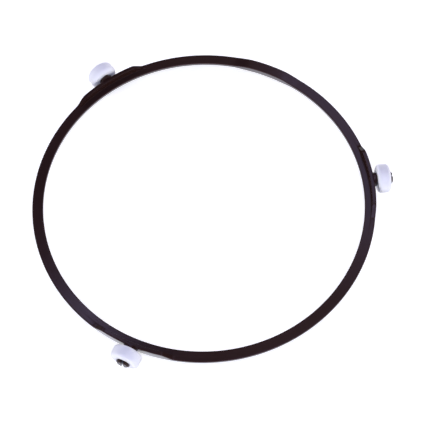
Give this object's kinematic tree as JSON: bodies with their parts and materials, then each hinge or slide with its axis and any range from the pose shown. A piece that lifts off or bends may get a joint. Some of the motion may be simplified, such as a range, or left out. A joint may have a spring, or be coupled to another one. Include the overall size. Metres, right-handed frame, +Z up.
{
  "type": "microwave roller ring",
  "caption": "Flat dark ring with free-turning white rollers on split snap axles round its outer edge; it carries a microwave oven's glass tray.",
  "frame": {"origin": "on the ring's axis, at the oven floor that the rollers stand on", "axes": "+Z up along the ring's axis, +X out along the first roller's axle"},
  "size_m": [0.1814, 0.172, 0.0145],
  "materials": {
    "ring_plastic": "moulded brown-black plastic with a low sheen",
    "roller_plastic": "smooth milky white nylon"
  },
  "bodies": {
    "ring": {"support_ring": "ring_plastic"},
    "roller_1": {"roller_1": "roller_plastic"},
    "roller_2": {"roller_2": "roller_plastic"},
    "roller_3": {"roller_3": "roller_plastic"}
  },
  "joints": [
    {"name": "roller_1_spin", "type": "hinge", "parent": "ring", "child": "roller_1", "pos_m": [0.0908, 0, 0.00725], "axis": [1, 0, 0], "continuous": true},
    {"name": "roller_2_spin", "type": "hinge", "parent": "ring", "child": "roller_2", "pos_m": [-0.0454, 0.07863, 0.00725], "axis": [-0.5, 0.866, 0], "continuous": true},
    {"name": "roller_3_spin", "type": "hinge", "parent": "ring", "child": "roller_3", "pos_m": [-0.0454, -0.07863, 0.00725], "axis": [-0.5, -0.866, 0], "continuous": true}
  ]
}
